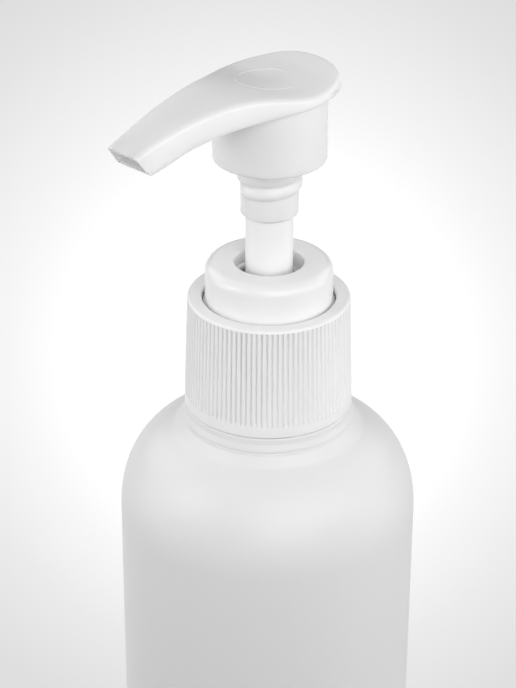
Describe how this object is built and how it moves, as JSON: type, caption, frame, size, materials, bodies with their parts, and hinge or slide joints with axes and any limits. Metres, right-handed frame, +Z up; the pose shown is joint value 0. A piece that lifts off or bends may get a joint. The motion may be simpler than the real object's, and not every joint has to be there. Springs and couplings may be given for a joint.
{
  "type": "soap pump bottle",
  "caption": "Round white liquid-soap bottle with a ribbed screw closure, a lock collar and a press-down pump whose spout points sideways and turns.",
  "frame": {"origin": "on the bottle's axis, in the plane that the bottle stands on", "axes": "+Z up along the bottle's axis, which is also the pump's; at rest the spout points level between -X and -Y, 45 degrees from each"},
  "size_m": [0.05, 0.05, 0.176],
  "materials": {
    "bottle_plastic": "milky, half matte",
    "closure_plastic": "satin",
    "collar_plastic": "satin",
    "seal_foam": "matte",
    "housing_plastic": "natural polypropylene",
    "tube_plastic": "natural polyethylene",
    "ball_steel": "polished",
    "spring_steel": "drawn wire",
    "piston_plastic": "natural polyethylene",
    "rod_plastic": "matte",
    "stem_plastic": "satin",
    "white_plastic": "satin"
  },
  "bodies": {
    "bottle": {"bottle": "bottle_plastic"},
    "pump_body": {"pump_housing": "housing_plastic", "lock_collar": "collar_plastic", "neck_gasket": "seal_foam", "dip_tube": "tube_plastic", "return_spring": "spring_steel"},
    "closure": {"screw_closure": "closure_plastic"},
    "plunger": {"piston_rod": "rod_plastic"},
    "piston_ring": {"piston": "piston_plastic"},
    "head": {"actuator": "white_plastic", "stem": "stem_plastic"},
    "inlet_valve": {"inlet_ball": "ball_steel"}
  },
  "joints": [
    {"name": "pump_lift", "type": "slide", "parent": "bottle", "child": "pump_body", "axis": [0, 0, 1], "range_m": [0, 0.00413]},
    {"name": "closure_turn", "type": "hinge", "parent": "pump_body", "child": "closure", "pos_m": [0, 0, 0.128], "axis": [0, 0, 1], "range_deg": [0, 468]},
    {"name": "pump_stroke", "type": "slide", "parent": "pump_body", "child": "plunger", "axis": [0, 0, -1], "range_m": [0, 0.013], "stiffness_N_per_m": 900, "springref_m": -0.001, "deforming": ["return_spring"]},
    {"name": "head_turn", "type": "hinge", "parent": "plunger", "child": "head", "pos_m": [0, 0, 0.16], "axis": [0, 0, 1], "continuous": true},
    {"name": "piston_lag", "type": "slide", "parent": "plunger", "child": "piston_ring", "axis": [0, 0, 1], "range_m": [0, 0.0008]},
    {"name": "inlet_lift", "type": "slide", "parent": "pump_body", "child": "inlet_valve", "axis": [0, 0, 1], "range_m": [0, 0.0012]}
  ],
  "couplings": [
    {"joint": "pump_lift", "follows": "closure_turn", "m_per_rad": 0.00050532}
  ]
}
